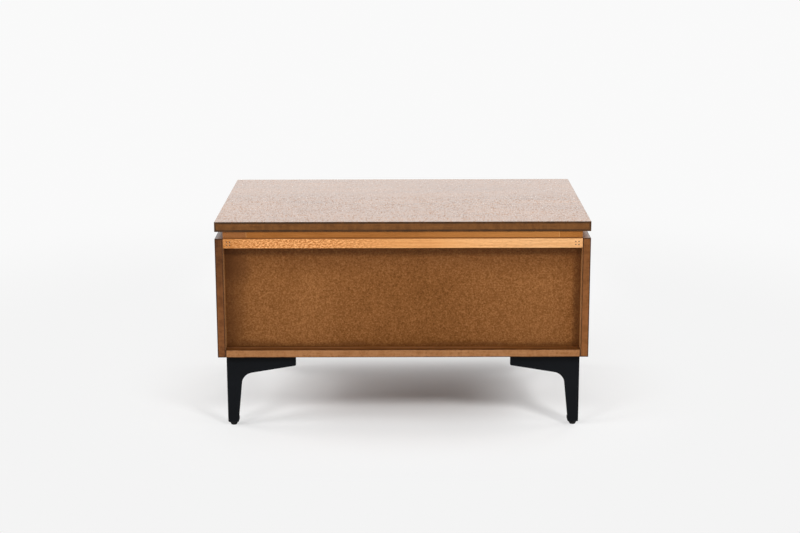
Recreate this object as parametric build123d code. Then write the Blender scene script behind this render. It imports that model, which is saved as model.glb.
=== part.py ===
from build123d import *
import os

# A low nightstand with one drawer, in millimetres. X runs along its width, the drawer opens
# towards -Y, +Z is up, and the origin lies on the floor under the middle of the case.

# Case boards
case_width = 600
case_depth = 380
side_height = 197
board_thickness = 13
board_edge_radius = 0.5

# Floating top, and the spacer frame between it and the case
top_thickness = 16
top_edge_radius = 0.6
spacer_height = 11
spacer_width = 38
spacer_back_setback = 2
spacer_front_setback = 40
spacer_edge_radius = 0.4

# Rails between the sides, flat under the spacer frame
rail_width = 60
rail_height = 16
rail_edge_radius = 1

# Back panel, in a groove all round
back_recess = 20
back_thickness = 9
groove_depth = 4
panel_fit = 0.3

# Legs: two tapered wings at a right angle, a plate on top and a socket at the toe
leg_height = 120
leg_inset = 12.5
leg_arm = 113
leg_arm_end = 17.5
leg_root_width = 25.7
leg_root_drop = 32
leg_root_radius = 20
leg_toe_width = 17.5
leg_toe_straight = 4
leg_tip_radius = 2
leg_wall = 4
leg_plate_thickness = 3
leg_plate_end = 20
leg_socket_height = 14
leg_socket_slope = 8
leg_corner_radius = 1.5
leg_toe_chamfer = 1.5

# Foot pads, plugged in the legs' sockets
pad_height = 5.5
pad_radius = 6.2
pad_sole_radius = 4.6
pad_bevel_height = 3
pad_plug_radius = 3.5
pad_plug_length = 9
pad_fit = 0.05

# Wooden dowels
dowel_radius = 3
dowel_chamfer = 0.6
dowel_fit = 0.05
dowel_end_gap = 0.5
dowel_side_bite = 9
dowel_end_bite = 16
bottom_dowel_inset = 40
bottom_dowel_count = 4
rail_dowel_inset = 10
rail_dowel_pitch = 12
drawer_dowel_bite = 8
drawer_dowel_inset = 30

# Pins in the back face of the rail, four at each end
pin_radius = 1
pin_length = 18
pin_pitch = 5
pin_inset = 8.7
pin_fit = 0.02

# Screws
screw_fit = 0.05
wood_screw_radius = 2
wood_screw_head_radius = 4
wood_screw_head_height = 2.2
pan_head_height = 2.4
runner_screw_radius = 1.75
runner_screw_head_radius = 3.1
runner_screw_bite = 8.8
top_screw_bite = 8
top_screw_edge = 6
top_screw_inset = 25
top_screw_pitch = 150
leg_screw_bite = 8
leg_screw_edge = 20
leg_screw_near = 45
leg_screw_far = 92
front_screw_bite = 12
front_screw_inset_x = 80
front_screw_inset_z = 35
point_length_share = 2
head_crown_share = 0.6
recess_span_share = 1.1
recess_width_share = 0.22
recess_depth_share = 0.7

# Drawer
drawer_gap = 2
drawer_front_thickness = 16
drawer_front_drop = 6
grip_bevel = 9
drawer_board = 12
drawer_back_gap = 25
drawer_top_gap = 15
drawer_box_lift = 8
drawer_bottom_thickness = 5
drawer_bottom_lift = 10
drawer_groove_depth = 5
drawer_edge_radius = 0.8

# Ball-bearing runners: three nested channels with rows of balls between their flanges
runner_thickness = 12.7
runner_height = 45.5
runner_sheet = 1.2
race_thickness = 2.5
race_gap = 1.2
web_gap = 1
runner_front_gap = 2
runner_back_gap = 8
runner_screw_inset = 35
runner_screw_count = 3
ball_radius = 1.75
ball_fit = 0.05
ball_row_count = 6
cage_sheet = 0.5
cage_end = 10
cage_length_share = 0.4
stop_thickness = 4
stop_gap = 0.3

# How far a cutting shape runs past the face that it cuts
overrun = 1

# Planes of the case
half_width = case_width / 2
half_depth = case_depth / 2
half_inner = half_width - board_thickness
side_top = leg_height + side_height
bottom_top = leg_height + board_thickness
top_underside = side_top + spacer_height
rail_bottom = side_top - rail_height
back_face = half_depth - back_recess
back_inner_face = back_face - back_thickness
spacer_back = half_depth - spacer_back_setback
spacer_front = spacer_front_setback - half_depth

# Planes of the drawer
drawer_front_back = drawer_front_thickness - half_depth
box_front_inside = drawer_front_back + drawer_board
box_end = back_inner_face - drawer_back_gap
box_back_inside = box_end - drawer_board
box_half = half_inner - runner_thickness
box_half_inside = box_half - drawer_board
box_low = bottom_top + drawer_box_lift
box_high = rail_bottom - drawer_top_gap
drawer_floor = box_low + drawer_bottom_lift

# Ends and middle of the runners
runner_front = drawer_front_back + runner_front_gap
runner_back = box_end - runner_back_gap
member_back = runner_back - stop_thickness - stop_gap
member_length = member_back - runner_front
runner_middle_y = (runner_front + member_back) / 2
runner_middle_z = (box_low + box_high) / 2

# Levels of a runner's flanges and balls, counted up from its middle
outer_flange_low = runner_height / 2 - race_thickness
middle_flange_high = outer_flange_low - race_gap
middle_flange_low = middle_flange_high - 2 * race_thickness + runner_sheet
inner_flange_high = middle_flange_low - race_gap
inner_flange_low = inner_flange_high - race_thickness
outer_ball_level = (outer_flange_low + middle_flange_high) / 2
inner_ball_level = (middle_flange_low + inner_flange_high) / 2

# Places across a runner, counted from the case's side towards the drawer
middle_web = runner_sheet + web_gap
inner_flange_start = middle_web + runner_sheet + web_gap
flange_end = runner_thickness - runner_sheet - web_gap
outer_ball_place = (middle_web + flange_end) / 2
inner_ball_place = (inner_flange_start + flange_end) / 2

# Cages and their rows of balls
cage_length = member_length * cage_length_share
ball_row_length = cage_length - 2 * cage_end

# Sizes of each kind of screw: length, shank radius, head radius and head height
top_screw = (rail_height + spacer_height + top_screw_bite, wood_screw_radius, wood_screw_head_radius,
             wood_screw_head_height)
front_screw = (drawer_board + front_screw_bite, wood_screw_radius, wood_screw_head_radius,
               wood_screw_head_height)
runner_screw = (runner_sheet + runner_screw_bite, runner_screw_radius, runner_screw_head_radius,
                runner_sheet)
leg_screw = (leg_plate_thickness + leg_screw_bite, wood_screw_radius, wood_screw_head_radius,
             pan_head_height)


def block(x_low, x_high, y_low, y_high, z_low, z_high):
    """A board between three pairs of faces."""
    size = Box(x_high - x_low, y_high - y_low, z_high - z_low, align=Align.MIN)
    return Pos(x_low, y_low, z_low) * size


def eased(board, radius):
    """The same board with all its edges eased."""
    return fillet(board.edges(), radius)


def turned(outline):
    """A body turned about Z from the radius and height of each point of its outline."""
    return revolve(Plane.XZ * make_face(Polyline(*outline, close=True)), Axis.Z)


def aimed(body, seat, direction):
    """The body moved to its seat, its Z axis along the direction."""
    return Plane(origin=seat, z_dir=direction) * body


def rod(start, end, radius):
    """A round bar from one point to another."""
    run = Vector(*end) - Vector(*start)
    bar = Cylinder(radius, run.length, align=(Align.CENTER, Align.CENTER, Align.MIN))
    return aimed(bar, start, run)


def spread(low, high, count):
    """Evenly spaced places from one end to the other."""
    steps = range(count)
    return [low + (high - low) * step / steps[-1] for step in steps]


def both_sides(shapes):
    """The shapes and their mirror images on the other side of the case."""
    return shapes + [mirror(shape, about=Plane.YZ) for shape in shapes]


def all_corners(shapes):
    """The shapes and their mirror images at the other three corners."""
    pair = both_sides(shapes)
    return pair + [mirror(shape, about=Plane.XZ) for shape in pair]


def save(name, shapes):
    """Write one node, whose solids stay separate."""
    solids = [solid for shape in shapes for solid in shape.solids()]
    export_step(Compound(solids), f"parts/{name}.step")


def save_pair(name, right):
    """Write the shapes of a right-hand piece, and of its left-hand mirror image."""
    save(f"{name}_right", right)
    save(f"{name}_left", [mirror(shape, about=Plane.YZ) for shape in right])


def cross_recess(head_radius, head_height):
    """The driver's cross in a screw head, cut down from the plane z = 0."""
    span = head_radius * recess_span_share
    width = head_radius * recess_width_share
    depth = head_height * recess_depth_share
    bar = block(-span / 2, span / 2, -width / 2, width / 2, -overrun, depth)
    return bar + Rot(0, 0, 90) * bar


def sunk_screw(length, radius, head_radius, head_height):
    """A countersunk screw, its head flush with z = 0 and its point up +Z."""
    point = length - radius * point_length_share
    body = turned([(0, 0), (head_radius, 0), (radius, head_height), (radius, point), (0, length)])
    return body - cross_recess(head_radius, head_height)


def sunk_hole(length, radius, head_radius, head_height):
    """The countersunk hole that such a screw fills, with its clearance."""
    head = head_radius + screw_fit
    wall = radius + screw_fit
    end = length + screw_fit
    return turned([(0, -overrun), (head, -overrun), (head, 0), (wall, head_height), (wall, end), (0, end)])


def pan_screw(length, radius, head_radius, head_height):
    """A screw with a domed head under z = 0 and its point up +Z."""
    crown = head_radius * head_crown_share
    shoulder = head_height * head_crown_share
    point = length - radius * point_length_share
    head = [(0, -head_height), (crown, -head_height), (head_radius, -shoulder), (head_radius, 0)]
    body = turned(head + [(radius, 0), (radius, point), (0, length)])
    return body - Pos(0, 0, -head_height) * cross_recess(head_radius, head_height)


def pan_hole(length, radius, head_radius, head_height):
    """The pilot hole of such a screw, as wide as its shank and its clearance."""
    return rod((0, 0, -overrun), (0, 0, length + screw_fit), radius + screw_fit)


def aimed_at(body, seats, direction):
    """A copy of the body at each seat."""
    return [aimed(body, seat, direction) for seat in seats]


def dowel(start, end):
    """A wooden dowel with bevelled ends."""
    return chamfer(rod(start, end, dowel_radius).edges().filter_by(GeomType.CIRCLE), dowel_chamfer)


def dowel_bore(start, end):
    """The bore of a dowel, a little wider and longer than it."""
    along = (Vector(*end) - Vector(*start)).normalized() * dowel_end_gap
    return rod(Vector(*start) - along, Vector(*end) + along, dowel_radius + dowel_fit)


def case_dowel_runs():
    """Start and end of each right-hand dowel of the case, from bottom or rail into the side."""
    bottom_z = leg_height + board_thickness / 2
    rail_z = side_top - rail_height / 2
    back_y = half_depth - rail_width + rail_dowel_inset
    front_y = spacer_front + rail_width - rail_dowel_inset
    rows = spread(bottom_dowel_inset - half_depth, half_depth - bottom_dowel_inset, bottom_dowel_count)
    places = [(y, bottom_z) for y in rows]
    places += [(back_y, rail_z), (back_y + rail_dowel_pitch, rail_z)]
    places += [(front_y, rail_z), (front_y - rail_dowel_pitch, rail_z)]
    low = half_inner - dowel_end_bite
    high = half_inner + dowel_side_bite
    return [((low, y, z), (high, y, z)) for y, z in places]


def case_dowel_bores():
    """The bores of all the case's dowels."""
    return both_sides([dowel_bore(*run) for run in case_dowel_runs()])


def top_screw_seats():
    """Where the screws stand that hold the top down on the rails and the spacer frame."""
    end = half_inner - top_screw_inset
    rows = [spacer_back - spacer_width + top_screw_edge, spacer_front + spacer_width - top_screw_edge]
    columns = [-end, -top_screw_pitch, 0, top_screw_pitch, end]
    return [(x, y, rail_bottom) for x in columns for y in rows]


def top_screw_holes():
    """The holes of the screws that hold the top down."""
    return aimed_at(sunk_hole(*top_screw), top_screw_seats(), (0, 0, 1))


def leg_screw_seats():
    """Where the screws stand in the plate of the back right leg."""
    x = half_width - leg_inset
    y = half_depth - leg_inset
    z = leg_height - leg_plate_thickness
    reaches = [leg_screw_near, leg_screw_far]
    along_x = [(x - reach, y - leg_screw_edge, z) for reach in reaches]
    along_y = [(x - leg_screw_edge, y - reach, z) for reach in reaches]
    return along_x + along_y


def leg_screw_holes():
    """The pilot holes of the screws of the back right leg."""
    return aimed_at(pan_hole(*leg_screw), leg_screw_seats(), (0, 0, 1))


def runner_screw_rows(back):
    """Where the screws stand along a runner's member that ends at the given place."""
    return spread(runner_front + runner_screw_inset, back - runner_screw_inset, runner_screw_count)


def case_runner_seats():
    """Where the screws stand in the right-hand runner's fixed member."""
    return [(half_inner - runner_sheet, y, runner_middle_z) for y in runner_screw_rows(runner_back)]


def box_runner_seats():
    """Where the screws stand in the right-hand runner's drawer member."""
    return [(box_half + runner_sheet, y, runner_middle_z) for y in runner_screw_rows(member_back)]


def case_runner_holes():
    """The holes of the screws that hold the fixed member to the case."""
    return aimed_at(sunk_hole(*runner_screw), case_runner_seats(), (1, 0, 0))


def box_runner_holes():
    """The holes of the screws that hold the drawer member to the drawer."""
    return aimed_at(sunk_hole(*runner_screw), box_runner_seats(), (-1, 0, 0))


def back_groove():
    """The space that the back panel takes in the boards round it."""
    reach = half_inner + groove_depth
    low = bottom_top - groove_depth
    high = rail_bottom + groove_depth
    return block(-reach, reach, back_inner_face - panel_fit, back_face + panel_fit, low, high)


def top_panel():
    """The floating top, drilled from below for its screws."""
    high = top_underside + top_thickness
    board = block(-half_width, half_width, -half_depth, half_depth, top_underside, high)
    return eased(board, top_edge_radius) - top_screw_holes()


def spacer_side():
    """The right-hand strip of the spacer frame, as long as the frame, its end grain at the back."""
    low = half_inner - spacer_width
    strip = block(low, half_inner, spacer_front, spacer_back, side_top, top_underside)
    return eased(strip, spacer_edge_radius) - top_screw_holes()


def spacer_cross(y_low):
    """A cross strip of the spacer frame, between the two side strips."""
    reach = half_inner - spacer_width
    strip = block(-reach, reach, y_low, y_low + spacer_width, side_top, top_underside)
    return eased(strip, spacer_edge_radius) - top_screw_holes()


def side_panel():
    """The right-hand side board, with the back's groove, dowel bores and the runner's screw holes."""
    board = block(half_inner, half_width, -half_depth, half_depth, leg_height, side_top)
    return eased(board, board_edge_radius) - back_groove() - case_dowel_bores() - case_runner_holes()


def bottom_panel():
    """The bottom board between the sides, drilled from below for the legs' screws."""
    board = block(-half_inner, half_inner, -half_depth, half_depth, leg_height, bottom_top)
    board = eased(board, board_edge_radius) - back_groove() - case_dowel_bores()
    return board - all_corners(leg_screw_holes())


def back_panel():
    """The back panel, with its edges in the grooves of the boards and the rail."""
    reach = half_inner + groove_depth - panel_fit
    low = bottom_top - groove_depth + panel_fit
    high = rail_bottom + groove_depth - panel_fit
    return block(-reach, reach, back_inner_face, back_face, low, high)


def rail(y_low):
    """A rail that lies flat between the sides, bored for its dowels and the top's screws."""
    board = block(-half_inner, half_inner, y_low, y_low + rail_width, rail_bottom, side_top)
    return eased(board, rail_edge_radius) - case_dowel_bores() - top_screw_holes()


def rail_pins(radius):
    """The two groups of pins that stand in the back face of the back rail."""
    middle_x = half_inner - pin_inset
    middle_z = side_top - rail_height / 2
    steps = [-pin_pitch / 2, pin_pitch / 2]
    places = [(middle_x + across, middle_z + up) for across in steps for up in steps]
    return both_sides([rod((x, half_depth, z), (x, half_depth - pin_length, z), radius) for x, z in places])


def back_rail():
    """The rail above the back panel, grooved for it and drilled for the pins."""
    return rail(half_depth - rail_width) - back_groove() - rail_pins(pin_radius + pin_fit)


def leg_wing():
    """One wing of a leg, its outer corner at the origin and its arm along +X."""
    drop = leg_height - pad_height
    root = (leg_root_width, -leg_root_drop)
    tip = (leg_arm, -leg_arm_end)
    toe = [(leg_toe_width, leg_toe_straight - drop), (leg_toe_width, -drop), (0, -drop)]
    wing = make_face(Polyline((0, 0), (leg_arm, 0), tip, root, *toe, close=True))
    wing = fillet(wing.vertices().sort_by_distance(root)[0], leg_root_radius)
    wing = fillet(wing.vertices().sort_by_distance(tip)[0], leg_tip_radius)
    return extrude(Plane.XZ * wing, -leg_wall)


def leg_plate():
    """The plate on top of a leg, which follows the wings and is cut off across the corner."""
    outline = [(0, 0), (leg_arm, 0), (leg_arm, leg_plate_end), (leg_plate_end, leg_arm), (0, leg_arm)]
    return extrude(make_face(Polyline(*outline, close=True)), -leg_plate_thickness)


def leg_socket():
    """The block that fills the toe between the wings and holds the pad's plug."""
    drop = leg_height - pad_height
    socket = block(0, leg_toe_width, 0, leg_toe_width, -drop, leg_socket_height - drop)
    return chamfer(socket.faces().sort_by(Axis.Z)[-1].edges(), leg_socket_slope)


def pad_centre(z):
    """A point on the axis of the back right pad."""
    inset = leg_inset + leg_toe_width / 2
    return half_width - inset, half_depth - inset, z


def back_right_leg():
    """The back right leg, drilled for its screws and bored for its pad."""
    drop = leg_height - pad_height
    wing = leg_wing()
    other_wing = mirror(wing, about=Plane(origin=(0, 0, 0), z_dir=(1, -1, 0)))
    leg = wing + other_wing + leg_plate() + leg_socket()
    corner = leg.edges().filter_by(Axis.Z).sort_by_distance((0, 0, -drop))[0]
    leg = fillet(corner, leg_corner_radius)
    leg = chamfer(leg.faces().sort_by(Axis.Z)[0].edges(), leg_toe_chamfer)
    leg = Pos(half_width - leg_inset, half_depth - leg_inset, leg_height) * Rot(0, 0, 180) * leg
    plug_end = pad_height + pad_plug_length + pad_fit
    return leg - leg_screw_holes() - rod(pad_centre(0), pad_centre(plug_end), pad_plug_radius + pad_fit)


def back_right_pad():
    """A foot pad: a round sole that widens upwards, with a plug on top."""
    end = pad_height + pad_plug_length
    sole = [(0, 0), (pad_sole_radius, 0), (pad_radius, pad_bevel_height), (pad_radius, pad_height)]
    plug = [(pad_plug_radius, pad_height), (pad_plug_radius, end), (0, end)]
    return aimed(turned(sole + plug), pad_centre(0), (0, 0, 1))


def front_screw_seats():
    """Where the screws stand inside the box front that hold the drawer front."""
    x = box_half_inside - front_screw_inset_x
    levels = [box_low + front_screw_inset_z, box_high - front_screw_inset_z]
    return [(side * x, box_front_inside, z) for side in (-1, 1) for z in levels]


def front_screw_holes():
    """The holes of the screws that hold the drawer front to the box."""
    return aimed_at(sunk_hole(*front_screw), front_screw_seats(), (0, -1, 0))


def drawer_front():
    """The front, set in between the sides, with a bevel behind its top edge for the fingers."""
    reach = half_inner - drawer_gap
    low = bottom_top + drawer_gap
    high = side_top - drawer_front_drop
    bevel = [(drawer_front_back, high - grip_bevel), (drawer_front_back - grip_bevel, high)]
    face = [(-half_depth, high), (-half_depth, low), (drawer_front_back, low)]
    outline = Polyline(*face, *bevel, close=True)
    board = extrude(Plane.YZ * make_face(outline), reach, both=True)
    return eased(board, board_edge_radius) - front_screw_holes()


def box_dowel_runs():
    """Start and end of each right-hand dowel of the drawer box, from its ends into its side."""
    rows = [drawer_front_back + drawer_board / 2, box_end - drawer_board / 2]
    levels = [box_low + drawer_dowel_inset, box_high - drawer_dowel_inset]
    low = box_half_inside - dowel_end_bite
    high = box_half_inside + drawer_dowel_bite
    return [((low, y, z), (high, y, z)) for y in rows for z in levels]


def box_dowel_bores():
    """The bores of all the drawer box's dowels."""
    return both_sides([dowel_bore(*run) for run in box_dowel_runs()])


def floor_groove():
    """The space that the drawer's bottom takes in the boards of the box."""
    reach = box_half_inside + drawer_groove_depth
    y_low = box_front_inside - drawer_groove_depth
    y_high = box_back_inside + drawer_groove_depth
    z_high = drawer_floor + drawer_bottom_thickness + panel_fit
    return block(-reach, reach, y_low, y_high, drawer_floor, z_high)


def drawer_side():
    """The right-hand side of the drawer box."""
    board = block(box_half_inside, box_half, drawer_front_back, box_end, box_low, box_high)
    return eased(board, drawer_edge_radius) - floor_groove() - box_dowel_bores() - box_runner_holes()


def box_cross(y_low):
    """The front or the back of the drawer box, between its sides."""
    board = block(-box_half_inside, box_half_inside, y_low, y_low + drawer_board, box_low, box_high)
    return eased(board, drawer_edge_radius) - floor_groove() - box_dowel_bores() - front_screw_holes()


def drawer_bottom():
    """The bottom of the drawer, with its edges in the grooves of the box."""
    reach = box_half_inside + drawer_groove_depth - panel_fit
    y_low = box_front_inside - drawer_groove_depth + panel_fit
    y_high = box_back_inside + drawer_groove_depth - panel_fit
    return block(-reach, reach, y_low, y_high, drawer_floor, drawer_floor + drawer_bottom_thickness)


def runner_bar(near, far, low, high, y_low, y_high):
    """A bar of the right-hand runner, from its places across and its levels."""
    z_low = runner_middle_z + low
    z_high = runner_middle_z + high
    return block(half_inner - far, half_inner - near, y_low, y_high, z_low, z_high)


def channel(web, near, far, low, high, sheet, y_low, y_high):
    """A channel of the right-hand runner: a web, and flanges between two levels and two places."""
    upper = runner_bar(near, far, low, high, y_low, y_high)
    lower = runner_bar(near, far, -high, -low, y_low, y_high)
    return runner_bar(web, web + sheet, -high, high, y_low, y_high) + upper + lower


def races(place, level):
    """The grooves that the rows of balls at one level run in, above and below the middle."""
    x = half_inner - place
    start = runner_front - overrun
    end = runner_back + overrun
    heights = [runner_middle_z + level, runner_middle_z - level]
    return [rod((x, start, z), (x, end, z), ball_radius + ball_fit) for z in heights]


def runner_outer():
    """The member that is screwed to the case."""
    body = channel(0, 0, flange_end, outer_flange_low, runner_height / 2, runner_sheet,
                   runner_front, runner_back)
    return body - races(outer_ball_place, outer_ball_level) - case_runner_holes()


def runner_middle():
    """The member that runs between the other two."""
    body = channel(middle_web, middle_web, flange_end, middle_flange_low, middle_flange_high, runner_sheet,
                   runner_front, member_back)
    body = body - races(outer_ball_place, outer_ball_level)
    return body - races(inner_ball_place, inner_ball_level)


def runner_inner():
    """The member that is screwed to the drawer."""
    web = runner_thickness - runner_sheet
    body = channel(web, inner_flange_start, runner_thickness, inner_flange_low, inner_flange_high,
                   runner_sheet, runner_front, member_back)
    return body - races(inner_ball_place, inner_ball_level) - box_runner_holes()


def runner_stop():
    """The rubber stop at the back end of the fixed member."""
    reach = outer_flange_low
    return runner_bar(runner_sheet, flange_end, -reach, reach, runner_back - stop_thickness, runner_back)


def ball_places(place, level):
    """Centres of the balls of one cage, a row above the runner's middle and a row below."""
    half_row = ball_row_length / 2
    rows = spread(runner_middle_y - half_row, runner_middle_y + half_row, ball_row_count)
    return [(half_inner - place, y, runner_middle_z + side * level) for side in (-1, 1) for y in rows]


def balls(place, level):
    """The balls of one cage."""
    return [Pos(*centre) * Sphere(ball_radius) for centre in ball_places(place, level)]


def ball_cage(gap_start, place, level):
    """The bent sheet that keeps the balls apart, its web in the gap between two members' webs."""
    web = gap_start + (web_gap - cage_sheet) / 2
    low = level - cage_sheet / 2
    y_low = runner_middle_y - cage_length / 2
    y_high = runner_middle_y + cage_length / 2
    body = channel(web, web, flange_end, low, low + cage_sheet, cage_sheet, y_low, y_high)
    return body - [rod((x, y, z - overrun), (x, y, z + overrun), ball_radius + ball_fit)
                   for x, y, z in ball_places(place, level)]


os.makedirs("parts", exist_ok=True)

# Case
save("top_panel", [top_panel()])
save_pair("top_spacer", [spacer_side()])
save("top_spacer_front", [spacer_cross(spacer_front)])
save("top_spacer_back", [spacer_cross(spacer_back - spacer_width)])
save_pair("side_panel", [side_panel()])
save("bottom_panel", [bottom_panel()])
save("back_panel", [back_panel()])
save("back_rail", [back_rail()])
save("front_rail", [rail(spacer_front)])
save("rail_pins", rail_pins(pin_radius))
save("case_dowels", both_sides([dowel(*run) for run in case_dowel_runs()]))
save("top_screws", aimed_at(sunk_screw(*top_screw), top_screw_seats(), (0, 0, 1)))

# Legs and pads
corners = ["back_right", "back_left", "front_right", "front_left"]
for corner, leg, pad in zip(corners, all_corners([back_right_leg()]), all_corners([back_right_pad()])):
    save(f"leg_{corner}", [leg])
    save(f"foot_pad_{corner}", [pad])
save("leg_screws", all_corners(aimed_at(pan_screw(*leg_screw), leg_screw_seats(), (0, 0, 1))))

# Drawer
save("drawer_front", [drawer_front()])
save("drawer_box_front", [box_cross(drawer_front_back)])
save("drawer_box_back", [box_cross(box_back_inside)])
save_pair("drawer_side", [drawer_side()])
save("drawer_bottom", [drawer_bottom()])
save("drawer_dowels", both_sides([dowel(*run) for run in box_dowel_runs()]))
save("drawer_front_screws", aimed_at(sunk_screw(*front_screw), front_screw_seats(), (0, -1, 0)))

# Runners
save_pair("runner_outer", [runner_outer()])
save_pair("runner_middle", [runner_middle()])
save_pair("runner_inner", [runner_inner()])
save("runner_end_stops", both_sides([runner_stop()]))
save("runner_case_screws", both_sides(aimed_at(sunk_screw(*runner_screw), case_runner_seats(), (1, 0, 0))))
save("runner_drawer_screws", both_sides(aimed_at(sunk_screw(*runner_screw), box_runner_seats(), (-1, 0, 0))))
save_pair("balls_outer", balls(outer_ball_place, outer_ball_level))
save_pair("balls_inner", balls(inner_ball_place, inner_ball_level))
save_pair("ball_cage_outer", [ball_cage(runner_sheet, outer_ball_place, outer_ball_level)])
save_pair("ball_cage_inner", [ball_cage(middle_web + runner_sheet, inner_ball_place, inner_ball_level)])
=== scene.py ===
import math

import bpy
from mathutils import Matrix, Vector


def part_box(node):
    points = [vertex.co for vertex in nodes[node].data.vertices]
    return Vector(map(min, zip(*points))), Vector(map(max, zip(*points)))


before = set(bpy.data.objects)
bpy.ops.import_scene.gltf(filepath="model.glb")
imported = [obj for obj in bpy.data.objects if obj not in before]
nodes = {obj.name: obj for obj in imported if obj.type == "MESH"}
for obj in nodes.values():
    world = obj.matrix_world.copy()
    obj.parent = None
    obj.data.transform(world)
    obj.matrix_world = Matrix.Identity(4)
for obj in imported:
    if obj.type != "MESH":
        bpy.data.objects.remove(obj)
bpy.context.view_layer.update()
X, Y, Z = range(3)


# Side boards: 13 mm boards with walnut veneer on both faces, stained and lacquered satin. Bands
# cover their edges, with the grain upright at the back, and the veneers end in a dark line
# along each arris. The bands at the back carry painted shade below the top and painted light
# toward the foot, and the inner faces are painted lighter, a painted light. Dowels and glue join
# them to the bottom board and the rails.

def node(tree, kind, inputs, **settings):
    """One shader node. Each input is a value, or another node's output that feeds it."""
    made = tree.nodes.new("ShaderNode" + kind)
    for name, value in settings.items():
        setattr(made, name, value)
    for name, value in inputs.items():
        if isinstance(value, bpy.types.NodeSocket):
            tree.links.new(value, made.inputs[name])
        else:
            made.inputs[name].default_value = value
    return made


def calc(tree, operation, *values):
    """Arithmetic on values that vary over the surface."""
    return node(tree, "Math", dict(enumerate(values)), operation=operation).outputs[0]


def most(tree, first, *others):
    """The greatest of some values."""
    for other in others:
        first = calc(tree, "MAXIMUM", first, other)
    return first


def mixed(tree, share, one, other, way="MIX"):
    """Two colours mixed by a share that varies over the surface."""
    one, other = [(*colour, 1) if isinstance(colour, tuple) else colour for colour in (one, other)]
    inputs = {0: share, 6: one, 7: other}
    return node(tree, "Mix", inputs, data_type="RGBA", blend_type=way).outputs[2]


def faded(tree, value, start, end, low=0.0, high=1.0):
    """A value turned into a smooth step from low, at its start, to high, at its end."""
    inputs = {0: value, 1: start, 2: end, 3: low, 4: high}
    return node(tree, "MapRange", inputs, interpolation_type="SMOOTHSTEP").outputs[0]


def tones(tree, share, *stops):
    """Colours by share, each stop a share and a colour."""
    made = node(tree, "ValToRGB", {0: share})
    ramp = made.color_ramp
    while len(ramp.elements) < len(stops):
        ramp.elements.new(1)
    for element, (at, colour) in zip(ramp.elements, stops):
        element.position = at
        element.color = (*colour, 1)
    return made.outputs[0]


def place(tree):
    """The point on the piece, in metres."""
    return node(tree, "TexCoord", {}).outputs["Object"]


def coordinates(tree):
    """The point's X, Y and Z."""
    return node(tree, "SeparateXYZ", {0: place(tree)}).outputs


def along(axis, length, width):
    """Scale of a pattern whose marks are that long along the axis and that wide across it."""
    scale = [1 / width] * 3
    scale[axis] = 1 / length
    return scale


def noise(tree, scale, detail=2.0, roughness=0.5, turn=(0, 0, 0)):
    """A random pattern with that many marks to the metre along X, Y and Z."""
    vector = node(tree, "Mapping", {"Vector": place(tree), "Scale": scale, "Rotation": turn}).outputs[0]
    inputs = {"Vector": vector, "Scale": 1.0, "Detail": detail, "Roughness": roughness}
    return node(tree, "TexNoise", inputs).outputs[0]


def to_arris(tree, low, high):
    """How far a point on a board's face is from the nearest arris, in metres."""
    middle = [(a + b) / 2 for a, b in zip(low, high)]
    half = [(b - a) / 2 for a, b in zip(low, high)]
    offset = node(tree, "VectorMath", {0: place(tree), 1: middle}, operation="SUBTRACT").outputs[0]
    offset = node(tree, "VectorMath", {0: offset}, operation="ABSOLUTE").outputs[0]
    inner_light = node(tree, "VectorMath", {0: half, 1: offset}, operation="SUBTRACT").outputs[0]
    parts = node(tree, "SeparateXYZ", {0: inner_light}).outputs
    near = calc(tree, "MINIMUM", parts[X], parts[Y])
    far = calc(tree, "MAXIMUM", parts[X], parts[Y])
    return calc(tree, "MAXIMUM", near, calc(tree, "MINIMUM", far, parts[Z]))


def facing(tree, axis, start=0.4, end=0.8):
    """1 on the faces that look along the axis, either way, and 0 on the others."""
    normal = node(tree, "TexCoord", {}).outputs["Normal"]
    part = node(tree, "SeparateXYZ", {0: normal}).outputs[axis]
    return faded(tree, calc(tree, "ABSOLUTE", part), start, end)


# Lengths and widths of the marks in wood, in metres
FIBRE = 0.06, 0.0011
CLOUD = 0.25, 0.05
STREAK = 0.5, 0.022
PORE = 0.009, 0.0005
PORE_CROWD = 0.12, 0.03

# How far the growth rings wander, in metres, their bends to the metre, and the scale at which the
# ring texture's rings lie a metre apart
RING_WANDER = 0.016
RING_BENDS = 7.0
RING_SCALE = 0.314

# Shares of the pattern that take a wood's dark, middle and light colours, and how much of the dark
# one its pores keep
WOOD_SHARES = 0.32, 0.50, 0.68
PORE_SHADE = 0.35


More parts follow.
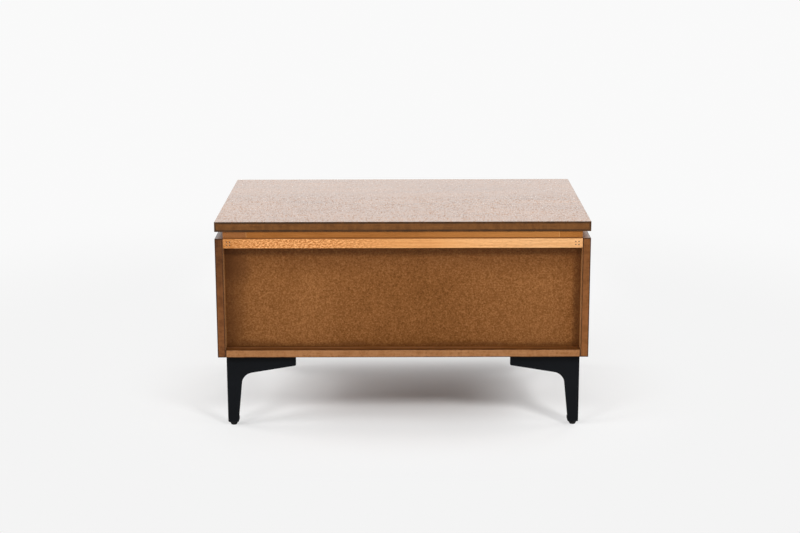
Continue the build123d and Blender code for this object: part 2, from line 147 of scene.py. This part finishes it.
def grain(tree, axis, pith, tilt, ring, wood, pore=PORE, figure=0.2, pore_share=0.45):
    """Wood cut along the axis: growth rings round a leaning pith, fibres, and short dark pores.

    The ring is the width of one growth ring, and the wood is its dark, middle and light colours."""
    turn = [0, 0, 0]
    turn[(axis + 1) % 3] = math.radians(tilt)
    inputs = {"Vector": place(tree), "Location": [-p for p in pith], "Rotation": turn}
    vector = node(tree, "Mapping", inputs).outputs[0]
    wobble = node(tree, "TexNoise", {"Vector": vector, "Scale": RING_BENDS, "Detail": 3.0}).outputs[1]
    inputs = {0: wobble, 1: [RING_WANDER] * 3, 2: vector}
    vector = node(tree, "VectorMath", inputs, operation="MULTIPLY_ADD").outputs[0]
    inputs = {"Vector": vector, "Scale": RING_SCALE / ring, "Distortion": 1.0, "Detail": 1.0,
              "Detail Scale": 2.0}
    settings = {"wave_type": "RINGS", "rings_direction": "XYZ"[axis], "wave_profile": "SAW"}
    rings = node(tree, "TexWave", inputs, **settings).outputs[1]
    falling = calc(tree, "MULTIPLY", calc(tree, "SUBTRACT", 1.0, rings), 4.0)
    rings = calc(tree, "MINIMUM", calc(tree, "MULTIPLY", rings, 1.25), falling)
    fibre = noise(tree, along(axis, *FIBRE), detail=3.0, roughness=0.6)
    cloud = noise(tree, along(axis, *CLOUD))
    share = calc(tree, "MULTIPLY_ADD", fibre, 0.6, calc(tree, "MULTIPLY", cloud, 0.4))
    streak = noise(tree, along(axis, *STREAK))
    strong = faded(tree, streak, 0.32, 0.62, low=0.35 * figure, high=1.45 * figure)
    share = calc(tree, "MULTIPLY_ADD", calc(tree, "SUBTRACT", rings, 0.5), strong, share)
    colour = tones(tree, share, *zip(WOOD_SHARES, wood))
    pores = faded(tree, noise(tree, along(axis, *pore)), 0.51, 0.62)
    crowd = noise(tree, along(axis, *PORE_CROWD))
    crowded = faded(tree, crowd, 0.35, 0.60, low=0.3 * pore_share, high=pore_share)
    deep = tuple(part * PORE_SHADE for part in wood[0])
    return mixed(tree, calc(tree, "MULTIPLY", pores, crowded), colour, deep), fibre, pores


def cleared(owner):
    """The emptied node tree of a material or a world."""
    owner.use_nodes = True
    owner.node_tree.nodes.clear()
    return owner.node_tree


def dress(name, pieces, shader_inputs):
    """A material on the pieces, whose shader gets what shader_inputs(tree) gives."""
    material = bpy.data.materials.new(name)
    tree = cleared(material)
    shader = node(tree, "BsdfPrincipled", shader_inputs(tree)).outputs[0]
    node(tree, "OutputMaterial", {"Surface": shader})
    for piece in pieces:
        nodes[piece].data.materials.clear()
        nodes[piece].data.materials.append(material)


def relief(tree, height, depth):
    """The normal of a surface that the height pattern makes uneven by the depth, in metres."""
    return node(tree, "Bump", {"Height": height, "Distance": depth, "Strength": 1.0}).outputs[0]


# Small marks in the film, to the metre, and how much of the film they keep in the front part of the
# case and in the back part, with the change just ahead of the middle
FILM_MARKS = 370, 130, 370
FILM_LEFT = 0.58, 0.18
FILM_REACH = -0.07, 0.01


def film(tree, axes, coat):
    """Weight of the clear film on the faces that look along the axes, thinner in small marks."""
    _, y, _ = coordinates(tree)
    thin = faded(tree, y, *FILM_REACH, *[left * coat for left in FILM_LEFT])
    marks = noise(tree, FILM_MARKS, detail=3.0, roughness=0.7)
    marks = faded(tree, marks, 0.36, 0.51, low=thin, high=coat)
    return calc(tree, "MULTIPLY", most(tree, *[facing(tree, axis) for axis in axes]), marks)


def uneven(tree, pattern, start, end, roughness):
    """A roughness that is a little less where the pattern is low, and more where it is high."""
    return faded(tree, pattern, start, end, low=roughness - 0.06, high=roughness + 0.08)


PORE_DEPTH = 0.00002
FILM_ROUGHNESS = 0.16
AMBER = (1.0, 0.8, 0.62)


def wooden(name, pieces, paint, roughness, coat=0.0, specular=0.2, shine=(), amber=AMBER,
           coat_index=1.5):
    """A material on the pieces, whose paint(tree) gives a colour, a fibre pattern and pores.

    The faces that look along the shine axes have the coat, and amber tints the gloss below it."""

    def shader_inputs(tree):
        colour, fibre, pores = paint(tree)
        height = calc(tree, "SUBTRACT", calc(tree, "MULTIPLY", fibre, 0.5), pores)
        inputs = {"Base Color": colour, "Normal": relief(tree, height, PORE_DEPTH),
                  "Roughness": uneven(tree, fibre, 0.2, 0.8, roughness),
                  "Specular IOR Level": specular, "Specular Tint": (*amber, 1),
                  "Coat Roughness": FILM_ROUGHNESS, "Coat IOR": coat_index}
        if shine:
            inputs["Coat Weight"] = film(tree, shine, coat)
        return inputs

    dress(name, pieces, shader_inputs)


WALNUT = (0.17, 0.062, 0.018), (0.30, 0.122, 0.037), (0.43, 0.195, 0.070)
WALNUT_PORE = 0.011, 0.0012
WALNUT_RING = 0.009
BAND_PORE = 0.004, 0.0020
BAND_RING = 0.004
BAND_BLOTCH = 0.02, 0.009

# The dark line along an arris: its colour, its width, the fade past it, its worn spots to the
# metre, and how squarely a face looks along the veneer's axis where it has no such line
ARRIS = (0.030, 0.010, 0.005)
ARRIS_WIDTH = 0.0010
ARRIS_FADE = 0.0011
ARRIS_WEAR = [60] * 3
SQUARE_ON = 0.93, 0.99


def veneered(tree, piece, face, axis, band_axis, pith, tilt, band, walnut=WALNUT, pore=WALNUT_PORE,
             figure=0.24, arris=ARRIS, width=ARRIS_WIDTH, painted_shade=1.0):
    """A board with veneer on the faces that look along one axis, banded edges and dark arrises.

    The veneer's grain runs along the axis and the bands' along the band_axis. The band is its
    three colours, and the painted shade scales it, darker for painted shade, lighter for painted light."""
    colour, fibre, pores = grain(tree, axis, pith, tilt, WALNUT_RING, walnut, pore, figure,
                                 pore_share=0.7)
    edge, _, _ = grain(tree, band_axis, pith=(0.02, 0.03, 0.3), tilt=4, ring=BAND_RING, wood=band,
                       pore=BAND_PORE, figure=0.06, pore_share=0.3)
    blotch = noise(tree, along(face, *BAND_BLOTCH), detail=3.0, roughness=0.7)
    edge = mixed(tree, faded(tree, blotch, 0.38, 0.62, high=0.55), edge, band[2])
    edge = node(tree, "VectorMath", {0: edge, "Scale": painted_shade}, operation="SCALE").outputs[0]
    colour = mixed(tree, facing(tree, face), edge, colour)
    near = faded(tree, to_arris(tree, *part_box(piece)), width, width + ARRIS_FADE, low=1.0, high=0.0)
    near = calc(tree, "MULTIPLY", near, calc(tree, "SUBTRACT", 1.0, facing(tree, face, *SQUARE_ON)))
    wear = faded(tree, noise(tree, ARRIS_WEAR), 0.35, 0.6, low=0.75)
    return mixed(tree, calc(tree, "MULTIPLY", near, wear), colour, arris), fibre, pores


LEFT_BAND = (0.120, 0.039, 0.009), (0.165, 0.058, 0.015), (0.245, 0.092, 0.028)
LEFT_PAINTED_SHADING = 0.92, 1.06
RIGHT_BAND = (0.064, 0.020, 0.005), (0.095, 0.032, 0.009), (0.165, 0.061, 0.019)
RIGHT_PAINTED_SHADING = 0.80, 1.28
# The painted light on the side boards' inner faces, and how far in from the face it reaches
INNER_FACE_PAINTED_LIGHT = (0.56, 0.28, 0.11)
INNER_LIGHT_DEPTH = 0.0004

# Where the band's painted shade below the top turns into painted light toward the foot, below the
# board's top and above its foot, and how far above the foot the middle of the veneer's figure lies
PAINTED_SHADE_START = 0.032
PAINTED_SHADE_END = 0.075
SIDE_PITH_RISE = 0.085


def side_board(tree, piece, band, painted_shades):
    """A side board, whose band at the back goes from the first painted shade, above, to the second, a
    painted light toward the foot.
    """
    low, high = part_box(piece)
    x, _, z = coordinates(tree)
    # Painted shade on the band below the top, and painted light toward its foot
    painted_shade = faded(tree, z, high[Z] - PAINTED_SHADE_START, low[Z] + PAINTED_SHADE_END, *painted_shades)
    pith = (1.15 * (low[X] + high[X]) / 2, 0, low[Z] + SIDE_PITH_RISE)
    colour, fibre, pores = veneered(tree, piece, face=X, axis=Y, band_axis=Z, pith=pith, tilt=3,
                                    band=band, painted_shade=painted_shade)
    # The inner face is painted lighter, a painted light where it lies in shade
    inner = min(abs(low[X]), abs(high[X]))
    skin = inner + INNER_LIGHT_DEPTH, inner + INNER_LIGHT_DEPTH / 4
    inner_light = faded(tree, calc(tree, "ABSOLUTE", x), *skin, high=0.45)
    return mixed(tree, inner_light, colour, INNER_FACE_PAINTED_LIGHT), fibre, pores


for side, band, painted_shades in (("left", LEFT_BAND, LEFT_PAINTED_SHADING), ("right", RIGHT_BAND, RIGHT_PAINTED_SHADING)):
    name = "side_panel_" + side
    wooden(name, [name], lambda tree: side_board(tree, name, band, painted_shades), roughness=0.34,
           coat=0.5, shine=(X, Z))


# Bottom board: a board of the same make between the sides, fixed by dowels and glue, with bands
# whose grain runs along the case. Its back band is a little lighter, and a painted highlight runs in
# spots along the board's faces just inside the back edge.

BOTTOM_BAND = (0.22, 0.087, 0.027), (0.29, 0.127, 0.047), (0.36, 0.170, 0.072)
BOTTOM_VENEER = (0.080, 0.026, 0.005), (0.130, 0.044, 0.009), (0.180, 0.066, 0.016)
PAINTED_HIGHLIGHT_STREAK = (0.25, 0.115, 0.050)
STREAK_INSET = 0.012
STREAK_SPOT = 0.10, 0.02

# A reach is where a tone is nothing and where it is full, in metres
STREAK_REACH = 0.0040, 0.0015


def bottom_board(tree):
    colour, fibre, pores = veneered(tree, "bottom_panel", face=Z, axis=X, band_axis=X,
                                    pith=(0, 0.05, 0.09), tilt=2.5, band=BOTTOM_BAND,
                                    walnut=BOTTOM_VENEER, width=ARRIS_WIDTH / 2)
    # A painted highlight, in spots, along the board just inside the back edge
    _, y, _ = coordinates(tree)
    offset = calc(tree, "SUBTRACT", y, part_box("bottom_panel")[1][Y] - STREAK_INSET)
    streak = faded(tree, calc(tree, "ABSOLUTE", offset), *STREAK_REACH)
    spots = faded(tree, noise(tree, along(X, *STREAK_SPOT)), 0.35, 0.55, low=0.15, high=0.65)
    return mixed(tree, calc(tree, "MULTIPLY", streak, spots), colour, PAINTED_HIGHLIGHT_STREAK), fibre, pores


wooden("bottom_panel", ["bottom_panel"], bottom_board, roughness=0.5, specular=0.1)


# Rails: solid pale oak under the top, dowelled between the sides, with lacquer and no stain. At
# one end of the back rail, where its grain runs out, the face shows a mottled figure.

PALE_OAK = (0.56, 0.262, 0.097), (0.73, 0.390, 0.167), (0.89, 0.525, 0.250)
OAK_RING = 0.004
OAK_PORE = 0.008, 0.0010
AMBER_OAK = (0.86, 0.72, 0.56)
PALE_FLECK = (0.90, 0.455, 0.180)
DARK_FLECK = (0.39, 0.130, 0.030)
FLECK_MARKS = 230, 400, 560
FLECK_TURN = 0, math.radians(40), 0
STAINED_END = (0.36, 0.130, 0.026)
RAIL_TOP_SHADOW = (0.25, 0.095, 0.026)

# Reaches along the rail, and for the painted shadow line below its top edge, under the spacer frame
AMBER_REACH = -0.24, 0.0
MOTTLED_REACH = -0.02, 0.14
END_REACH = 0.225, 0.290
RAIL_TOP_SHADOW_REACH = 0.0010, 0.0006


def oak_rail(tree):
    colour, fibre, pores = grain(tree, X, pith=(0, 0.12, 0.25), tilt=3, ring=OAK_RING, wood=PALE_OAK,
                                 pore=OAK_PORE, figure=0.05, pore_share=0.22)
    x, _, z = coordinates(tree)
    colour = mixed(tree, faded(tree, x, *AMBER_REACH), colour, AMBER_OAK, "MULTIPLY")
    flecks = noise(tree, FLECK_MARKS, detail=4.0, roughness=0.72, turn=FLECK_TURN)
    mottled = faded(tree, x, *MOTTLED_REACH)
    pale = calc(tree, "MULTIPLY", mottled, faded(tree, flecks, 0.54, 0.42, high=0.8))
    colour = mixed(tree, pale, colour, PALE_FLECK)
    dark = calc(tree, "MULTIPLY", mottled, faded(tree, flecks, 0.42, 0.60))
    colour = mixed(tree, dark, colour, DARK_FLECK)
    colour = mixed(tree, faded(tree, x, *END_REACH, high=0.6), colour, STAINED_END)
    # A painted shadow line along the top edge, under the spacer frame
    start, end = [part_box("back_rail")[1][Z] - below for below in RAIL_TOP_SHADOW_REACH]
    return mixed(tree, faded(tree, z, start, end, high=0.9), colour, RAIL_TOP_SHADOW), fibre, pores


wooden("pale_oak", ["back_rail", "front_rail"], oak_rail, roughness=0.42)


# Back panel: 9 mm fibreboard in a groove all round, stained with a cloth. The pressed fibres show
# as a fine speckle, and it is darker near the edges, partly stain that dries last there and partly
# painted shade from the side boards, the rail and the bottom board, with a painted shadow below the
# rail.

STAIN = (0.105, 0.038, 0.007), (0.187, 0.071, 0.019), (0.30, 0.130, 0.044)
STAIN_SHARES = 0.36, 0.50, 0.66
EDGE_STAIN_AND_SHADE = (0.080, 0.028, 0.008)
SPECKLE_MARKS = [420] * 3
CLOTH_MARKS = 14, 14, 9
WAVE_MARKS = [26] * 3
WAVE = 0.016

# The broad strokes of the cloth, which show in the lower part alone
STROKE_MARKS = 15.0
STROKE_SHIFT = -2.85
STROKE_REACH = 0.031, 0.071

# Where the darker edges, partly stain and partly painted shade, start and end, in from the side
# boards, the rail and the bottom board, and the painted shadow below the rail
LEFT_EDGE = 0.037, 0.015
LEFT_WIDENING = 0.022
WIDENING_REACH = 0.073, 0.039
RIGHT_EDGE = 0.012, 0.001
TOP_EDGE = 0.017, 0.004
RAIL_SHADE = 0.061, 0.001
FOOT_END = 0.001
FOOT_STARTS = 0.009, 0.018
FOOT_CORNER = 0.087, 0.042


def stained_fibreboard(tree):
    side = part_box("side_panel_right")[0][X]
    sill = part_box("bottom_panel")[1][Z]
    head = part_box("back_rail")[0][Z]

    def down(reach):
        return [head - inset for inset in reach]

    x, _, z = coordinates(tree)
    wave = calc(tree, "MULTIPLY_ADD", noise(tree, WAVE_MARKS), WAVE, -WAVE / 2)
    x = calc(tree, "ADD", x, wave)
    z = calc(tree, "ADD", z, wave)
    speckle = noise(tree, SPECKLE_MARKS, detail=3.0, roughness=0.7)
    cloud = noise(tree, CLOTH_MARKS, detail=3.0, roughness=0.55)
    share = calc(tree, "MULTIPLY_ADD", speckle, 0.75, calc(tree, "MULTIPLY_ADD", cloud, 0.12, 0.065))
    strokes = calc(tree, "COSINE", calc(tree, "MULTIPLY_ADD", x, STROKE_MARKS, STROKE_SHIFT))
    strength = faded(tree, z, *down(STROKE_REACH), high=0.035)
    share = calc(tree, "MULTIPLY_ADD", strokes, strength, share)
    colour = tones(tree, share, *zip(STAIN_SHARES, STAIN))
    upper = faded(tree, z, *down(WIDENING_REACH))
    start = calc(tree, "MULTIPLY_ADD", upper, -LEFT_WIDENING, side - LEFT_EDGE[0])
    weight = calc(tree, "MULTIPLY_ADD", upper, 0.65, 0.95)
    left = faded(tree, x, start, side - LEFT_EDGE[1], high=weight)
    right = faded(tree, x, *[inset - side for inset in RIGHT_EDGE])
    top = faded(tree, z, *down(TOP_EDGE))
    corner = [side - inset for inset in FOOT_CORNER]
    start = faded(tree, x, *corner, *[sill + rise for rise in FOOT_STARTS])
    foot = faded(tree, z, start, sill + FOOT_END)
    # Darker edges, partly stain and partly painted shade, and a painted shadow below the rail
    edge = calc(tree, "MULTIPLY", most(tree, left, right, top, foot), 0.5)
    rail_shadow = faded(tree, z, *down(RAIL_SHADE), high=0.38)
    colour = mixed(tree, most(tree, rail_shadow, edge), colour, EDGE_STAIN_AND_SHADE)
    return colour, speckle, faded(tree, speckle, 0.40, 0.30)


wooden("stained_fibreboard", ["back_panel"], stained_fibreboard, roughness=0.60, specular=0.15)


# Pins: 2 mm pins of dark steel, driven into the back rail, that show as four dots at each end.
# The screws of the legs are of the same dark steel.

CLOUD_MARKS = [18] * 3
COATING_GLOSS = 0.06


def metal(name, pieces, colour, spread, roughness, spot, metallic=1.0, bump=0.00001):
    """A metal or coated surface with two close tones, and the size of its spots in metres."""

    def shader_inputs(tree):
        mottle = noise(tree, [1 / spot] * 3, detail=3.0, roughness=0.6)
        cloud = noise(tree, CLOUD_MARKS)
        share = calc(tree, "MULTIPLY_ADD", mottle, 0.5, calc(tree, "MULTIPLY", cloud, 0.5))
        dark, light = [[part * tone for part in colour] for tone in (1 - spread, 1 + spread)]
        inputs = {"Base Color": tones(tree, share, (0.3, dark), (0.7, light)), "Metallic": metallic,
                  "Normal": relief(tree, mottle, bump),
                  "Roughness": uneven(tree, share, 0.3, 0.7, roughness)}
        if metallic == 0:
            inputs["Specular IOR Level"] = COATING_GLOSS
        return inputs

    dress(name, pieces, shader_inputs)


DARK_STEEL = (0.06, 0.058, 0.056)
metal("dark_steel", ["rail_pins", "leg_screws"], DARK_STEEL, spread=0.3, roughness=0.45, spot=0.002)


# Dowels: 6 mm beech dowels with bevelled ends, left bare. They are glued into bores in the ends of
# the boards, in the case and in the drawer.

BEECH = (0.45, 0.27, 0.13), (0.60, 0.39, 0.21), (0.70, 0.49, 0.29)
BEECH_RING = 0.003
BEECH_PORE = 0.003, 0.0005


def beech(tree):
    return grain(tree, X, pith=(0, 0, 0.1), tilt=2, ring=BEECH_RING, wood=BEECH, pore=BEECH_PORE)


wooden("beech", ["case_dowels", "drawer_dowels"], beech, roughness=0.6)


# Spacer frame: four strips of stained oak that carry the top clear of the case. The side strips
# run through, so their end grain shows at the back as two short blocks.

STAINED_OAK = (0.235, 0.080, 0.014), (0.30, 0.106, 0.021), (0.365, 0.141, 0.034)
LEFT_END = (0.26, 0.092, 0.016), (0.333, 0.120, 0.023), (0.40, 0.155, 0.034)
RIGHT_END = (0.195, 0.071, 0.018), (0.25, 0.092, 0.026), (0.31, 0.120, 0.037)
STRIP_RING = 0.005
END_RING = 0.003
PALER_STAIN = (0.44, 0.180, 0.045)
PALER_REACH = 0.06, -0.20
OPEN_JOINT = (0.60, 0.30, 0.10)
JOINT_REACH = 0.0016, 0.0006
STRIP_FOOT_LINE = (0.13, 0.045, 0.012)
STRIP_FOOT_LINE_REACH = 0.0018, 0.0006


def stained_strip(tree, piece, axis, end):
    """A strip whose grain runs along the axis, with its end grain in the end's colours."""
    low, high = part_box(piece)
    inner = min(low[X], high[X], key=abs)
    plain = {"figure": 0.06, "pore_share": 0.3}
    colour, fibre, pores = grain(tree, axis, pith=(0.01, 0.02, 0.28), tilt=3, ring=STRIP_RING,
                                 wood=STAINED_OAK, **plain)
    x, _, z = coordinates(tree)
    colour = mixed(tree, faded(tree, x, *PALER_REACH, high=0.6), colour, PALER_STAIN)
    cut, _, _ = grain(tree, axis, pith=(0.25, 0.3, 0.33), tilt=3, ring=END_RING, wood=end, **plain)
    colour = mixed(tree, facing(tree, axis), colour, cut)
    beside = calc(tree, "ABSOLUTE", calc(tree, "SUBTRACT", x, inner))
    joint = calc(tree, "MULTIPLY", facing(tree, axis), faded(tree, beside, *JOINT_REACH, high=0.5))
    colour = mixed(tree, joint, colour, OPEN_JOINT)
    # A dark line along the strip's foot
    foot_line = faded(tree, z, *[low[Z] + rise for rise in STRIP_FOOT_LINE_REACH], high=0.8)
    return mixed(tree, foot_line, colour, STRIP_FOOT_LINE), fibre, pores


STRIPS = ("left", Y, LEFT_END), ("right", Y, RIGHT_END), ("front", X, LEFT_END), ("back", X, LEFT_END)
for side, axis, end in STRIPS:
    name = "top_spacer_" + side
    wooden(name, [name], lambda tree: stained_strip(tree, name, axis, end), roughness=0.42)


# Floating top: a 16 mm board with walnut veneer, its grain along the case, lacquered satin with a
# thicker film than the sides. The veneer's edges show as dark lines above and below the band.
# Screws through the rails and the spacer frame hold it.

TOP_WALNUT = (0.21, 0.080, 0.024), (0.30, 0.122, 0.037), (0.39, 0.172, 0.060)
TOP_PORE = 0.007, 0.0012
TOP_BAND = (0.060, 0.0185, 0.003), (0.087, 0.029, 0.0055), (0.150, 0.057, 0.014)
TOP_ARRIS = (0.008, 0.002, 0.001)
TOP_ARRIS_WIDTH = 0.0028
TOP_AMBER = (1.0, 0.56, 0.29)


def top_board(tree):
    return veneered(tree, "top_panel", face=Z, axis=X, band_axis=X, pith=(0.06, 0.03, 0.30), tilt=2.2,
                    band=TOP_BAND, walnut=TOP_WALNUT, pore=TOP_PORE, figure=0.16, arris=TOP_ARRIS,
                    width=TOP_ARRIS_WIDTH)


wooden("top_panel", ["top_panel"], top_board, roughness=0.32, coat=1.0, specular=0.80, shine=(Z,),
       amber=TOP_AMBER, coat_index=2.1)


# Screws: zinc-plated wood screws with countersunk heads and a driver's cross. They hold the top,
# the runners and the drawer front.

SCREWS = ["top_screws", "runner_case_screws", "drawer_front_screws", "runner_drawer_screws"]
PLATED_SCREW = (0.62, 0.61, 0.58)
metal("zinc_screw", SCREWS, PLATED_SCREW, spread=0.12, roughness=0.28, spot=0.001)


# Legs: sheet steel bent to an L, with a plate welded on top, powder-coated matt black. Four
# screws through the plate hold each leg to the bottom board.

LEGS = ["leg_back_left", "leg_back_right", "leg_front_left", "leg_front_right"]
BLACK_POWDER = (0.0055, 0.0062, 0.0075)
metal("black_metal", LEGS, BLACK_POWDER, spread=0.25, roughness=0.55, spot=0.0006, metallic=0.0,
      bump=0.00003)


# Foot pads: black rubber pads with plugs that sit in the sockets at the legs' toes. The stops at
# the back ends of the runners are of the same rubber.

PADS = ["foot_pad_back_left", "foot_pad_back_right", "foot_pad_front_left", "foot_pad_front_right"]
BLACK_RUBBER = (0.016, 0.016, 0.016)
metal("foot_rubber", PADS + ["runner_end_stops"], BLACK_RUBBER, spread=0.3, roughness=0.75,
      spot=0.001, metallic=0.0)


# Runners: zinc-plated steel channels, screwed to the case and to the drawer, with a third channel
# between them. Rows of steel balls run between their flanges, in cages bent from thin sheet.

CHANNELS = "runner_outer", "runner_middle", "runner_inner", "ball_cage"
PLATED_CHANNEL = (0.58, 0.58, 0.57)
metal("zinc_runner", [piece for piece in nodes if piece.startswith(CHANNELS)], PLATED_CHANNEL,
      spread=0.05, roughness=0.30, spot=0.004, bump=0.000003)
BARE_BALL = (0.70, 0.70, 0.70)
metal("ball_steel", [piece for piece in nodes if piece.startswith("balls_")], BARE_BALL,
      spread=0.04, roughness=0.14, spot=0.002)


# Drawer front: a 16 mm board of the same veneer as the sides, set in between them, with a bevel
# behind its top edge for the fingers. Screws from inside the drawer box hold it.

def front_board(tree):
    return veneered(tree, "drawer_front", face=Y, axis=X, band_axis=X, pith=(0, -0.14, 0.21),
                    tilt=2.4, band=TOP_BAND)


wooden("drawer_front", ["drawer_front"], front_board, roughness=0.34, coat=0.5, shine=(Y,))


# Drawer box: 12 mm boards of pale birch with clear lacquer, dowelled at the corners and grooved
# for the bottom.

BIRCH = (0.52, 0.36, 0.20), (0.66, 0.49, 0.30), (0.76, 0.60, 0.40)
BIRCH_RING = 0.009
BOX_ENDS = ["drawer_box_front", "drawer_box_back"]
BOX_SIDES = ["drawer_side_left", "drawer_side_right"]


def birch_board(tree, axis):
    return grain(tree, axis, pith=(0.02, 0.03, 0.1), tilt=3, ring=BIRCH_RING, wood=BIRCH)


wooden("birch_x", BOX_ENDS, lambda tree: birch_board(tree, X), roughness=0.42)
wooden("birch_y", BOX_SIDES, lambda tree: birch_board(tree, Y), roughness=0.42)


# Drawer bottom: a sheet of 5 mm birch plywood, lacquered like the box. It sits loose in a groove
# all round.

PLY_RING = 0.014


def plywood(tree):
    return grain(tree, X, pith=(0, 0, 0.1), tilt=2, ring=PLY_RING, wood=BIRCH)


wooden("plywood", ["drawer_bottom"], plywood, roughness=0.45)


# Studio: a plain pale floor that keeps the shadow close round the case, with a glow painted over the
# rest of it that only the camera and reflections see, a white surround that only they see, and ten
# soft lamps in a ring, of which the two beside the camera are smaller.

WHITE = (1, 1, 1, 1)
BACKDROP = 0.95


def seen(tree):
    """1 where the camera looks, and 1 where a reflection or a clear piece does."""
    paths = node(tree, "LightPath", {}).outputs
    return paths["Is Camera Ray"], most(tree, paths["Is Glossy Ray"], paths["Is Transmission Ray"])


FLOOR_SIZE = 30
FLOOR_PAINT = (0.82, 0.82, 0.82, 1)

# The floor's glow near the object, and the distances between which it turns into the backdrop's
NEAR_GLOW = 0.905
GLOW_REACH = 0.85, 1.7

# The floor keeps its whole shadow this far beside and behind the middle, and less and less of it
# over the reach past that, which the squeeze makes shorter behind
SHADOW_BESIDE = 0.08
SHADOW_BEHIND = 0.05
SHADOW_REACH = 0.46
SHADOW_SQUEEZE = 1.2

# Where the glow comes in ahead of the middle, as painted light over the shadow there, and all round it
FRONT_REACH = -0.15, -0.24
OPEN_FLOOR = 0.7, 1.2


def pale_floor(tree):
    """The floor's own paint where the object shades it, and an even glow further away."""
    x, y, _ = coordinates(tree)
    away = node(tree, "VectorMath", {0: place(tree)}, operation="LENGTH").outputs[1]
    paint = node(tree, "BsdfDiffuse", {"Color": FLOOR_PAINT}).outputs[0]
    strength = faded(tree, away, *GLOW_REACH, NEAR_GLOW, BACKDROP)
    glow = node(tree, "Emission", {"Color": WHITE, "Strength": strength}).outputs[0]
    beside = most(tree, calc(tree, "SUBTRACT", calc(tree, "ABSOLUTE", x), SHADOW_BESIDE), 0.0)
    behind = calc(tree, "MULTIPLY_ADD", y, SHADOW_SQUEEZE, -SHADOW_SQUEEZE * SHADOW_BEHIND)
    behind = most(tree, behind, 0.0)
    reach = node(tree, "CombineXYZ", {0: beside, 1: behind}).outputs[0]
    reach = node(tree, "VectorMath", {0: reach}, operation="LENGTH").outputs[1]
    ahead = most(tree, faded(tree, y, *FRONT_REACH, high=0.6), faded(tree, away, *OPEN_FLOOR))
    lit = most(tree, ahead, faded(tree, reach, 0.0, SHADOW_REACH))
    share = calc(tree, "MULTIPLY", most(tree, *seen(tree)), lit)
    surface = node(tree, "MixShader", {0: share, 1: paint, 2: glow}).outputs[0]
    node(tree, "OutputMaterial", {"Surface": surface})


bpy.ops.object.select_all(action="DESELECT")
bpy.ops.mesh.primitive_plane_add(size=FLOOR_SIZE, location=(0, 0, 0))
floor = bpy.context.object
floor.name = "floor"
floor.data.materials.append(bpy.data.materials.new("floor"))
pale_floor(cleared(floor.active_material))

# How steeply up the surround starts and ends to dim for reflections, and what is left of it
OVERHEAD = 0.5, 0.85
OVERHEAD_WHITE = 0.35


def white_surround(tree):
    """White for the camera, and dimmer overhead for reflections, so that no top is washed out."""
    up = node(tree, "SeparateXYZ", {0: node(tree, "TexCoord", {}).outputs["Generated"]}).outputs[Z]
    straight, mirrored = seen(tree)
    mirrored = calc(tree, "MULTIPLY", mirrored, faded(tree, up, *OVERHEAD, low=1.0, high=OVERHEAD_WHITE))
    strength = calc(tree, "MULTIPLY_ADD", straight, BACKDROP, mirrored)
    light = node(tree, "Background", {"Color": WHITE, "Strength": strength}).outputs[0]
    node(tree, "OutputWorld", {"Surface": light})


bpy.context.scene.world = bpy.data.worlds.new("surround")
white_surround(cleared(bpy.context.scene.world))

# Each lamp's turn about Z from the back of the case, where the camera is, and its rise, both in
# degrees, then its power in watts and its width in metres
WIDE = 1.7
NARROW = 0.9
LAMPS = ((-145, 34, 42, WIDE), (-105, 34, 57, WIDE), (-70, 34, 25, WIDE), (-35, 35, 105, NARROW),
         (35, 35, 51, NARROW), (70, 34, 37, WIDE), (105, 34, 41, WIDE), (70, 22, 70, WIDE),
         (105, 22, 38, WIDE), (180, 22, 74, WIDE))
LAMP_DISTANCE = 4.5


def soft_lamp(name, turn, rise, power, width):
    """A square lamp that aims at the origin and that no reflection shows."""
    lamp = bpy.data.lights.new(name, "AREA")
    lamp.shape = "RECTANGLE"
    lamp.size = width
    lamp.size_y = width
    lamp.energy = power
    holder = bpy.data.objects.new(name, lamp)
    bpy.context.scene.collection.objects.link(holder)
    turn, rise = math.radians(turn), math.radians(rise)
    start = Vector((math.sin(turn) * math.cos(rise), math.cos(turn) * math.cos(rise), math.sin(rise)))
    holder.location = LAMP_DISTANCE * start
    holder.rotation_euler = (-start).to_track_quat("-Z", "Y").to_euler()
    holder.visible_glossy = False


for number, lamp in enumerate(LAMPS):
    soft_lamp("soft_light_%d" % number, *lamp)

CAMERA_PLACE = -0.00226, 2.72499, 0.86996
CAMERA_TURN = 76.7073, 0.1648, -179.8882
CAMERA_LENS = 73.32
CAMERA_SENSOR = 36

camera = bpy.data.objects.new("camera", bpy.data.cameras.new("camera"))
bpy.context.scene.collection.objects.link(camera)
camera.location = CAMERA_PLACE
camera.rotation_euler = [math.radians(angle) for angle in CAMERA_TURN]
camera.data.lens = CAMERA_LENS
camera.data.sensor_width = CAMERA_SENSOR
camera.data.sensor_fit = "HORIZONTAL"
bpy.context.scene.camera = camera
bpy.context.scene.view_settings.view_transform = "Standard"
